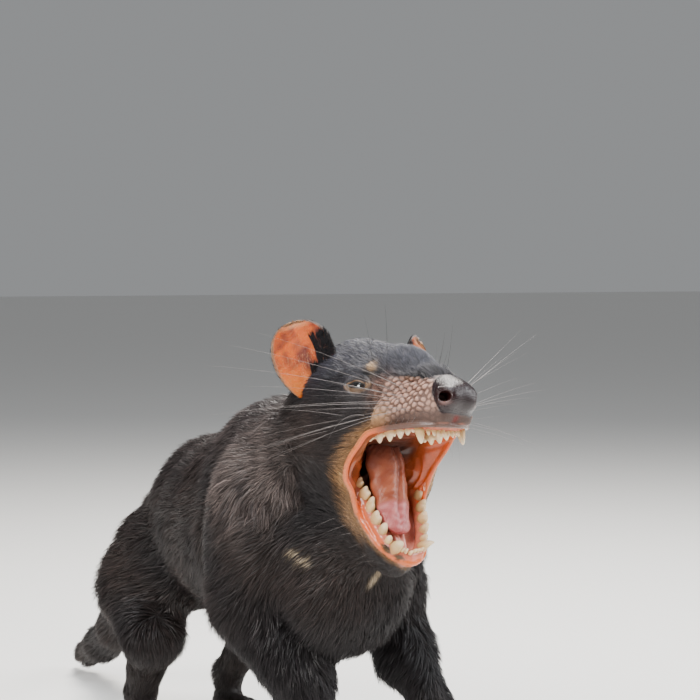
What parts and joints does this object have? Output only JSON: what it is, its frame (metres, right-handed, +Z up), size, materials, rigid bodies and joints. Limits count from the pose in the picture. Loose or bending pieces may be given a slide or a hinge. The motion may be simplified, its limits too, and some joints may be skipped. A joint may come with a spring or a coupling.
{
  "type": "tasmanian devil",
  "caption": "Life-size still model of a Tasmanian devil standing on all fours with its head raised and its mouth gaping wide.",
  "frame": {"origin": "on the floor, under the centre of the model's bounding box", "axes": "+X the way the body faces, +Y to its left, +Z up"},
  "size_m": [0.7086, 0.266, 0.3455],
  "materials": {
    "coat": "dense short-to-medium black-brown fur, slightly glossy on the back",
    "muzzle_skin": "thin-haired pinkish-brown skin with rows of small bumps",
    "eyelid": "short tan hair and dark lid rims",
    "nose": "moist, finely pebbled, dark burgundy-black",
    "lips": "smooth wet salmon-orange skin",
    "mouth": "wet pink flesh",
    "teeth": "smooth cream enamel",
    "ear": "thin skin, nearly bare inside, light shining through",
    "eye": "wet and almost black",
    "claw": "worn dark horn"
  },
  "bodies": {
    "root": {"chest": "coat", "belly": "coat", "rump": "coat", "foreleg_right_upper": "coat", "foreleg_right_lower": "coat", "forepaw_right": "coat", "foreleg_left_upper": "coat", "foreleg_left_lower": "coat", "forepaw_left": "coat", "hindleg_right_upper": "coat", "hindleg_right_lower": "coat", "hindpaw_right": "coat", "hindleg_left_upper": "coat", "hindleg_left_lower": "coat", "hindpaw_left": "coat", "tail_base": "coat", "tail_middle": "coat", "tail_tip": "coat", "neck": "coat", "lower_jaw": "coat", "cheek_left": "coat", "cheek_right": "coat", "muzzle": "muzzle_skin", "head": "coat", "whisker_pad_left": "muzzle_skin", "whisker_pad_right": "muzzle_skin", "nose": "nose", "mouth_lining": "mouth", "lips": "lips", "upper_teeth": "teeth", "lower_teeth": "teeth", "tongue": "mouth", "eye_left": "eye", "eyelids_left": "eyelid", "eye_right": "eye", "eyelids_right": "eyelid", "ear_left": "ear", "ear_right": "ear", "claw_forepaw_right_1": "claw", "claw_forepaw_right_2": "claw", "claw_forepaw_right_3": "claw", "claw_forepaw_right_4": "claw", "claw_forepaw_right_5": "claw", "claw_forepaw_left_1": "claw", "claw_forepaw_left_2": "claw", "claw_forepaw_left_3": "claw", "claw_forepaw_left_4": "claw", "claw_forepaw_left_5": "claw", "claw_hindpaw_right_1": "claw", "claw_hindpaw_right_2": "claw", "claw_hindpaw_right_3": "claw", "claw_hindpaw_right_4": "claw", "claw_hindpaw_left_1": "claw", "claw_hindpaw_left_2": "claw", "claw_hindpaw_left_3": "claw", "claw_hindpaw_left_4": "claw"}
  },
  "joints": []
}
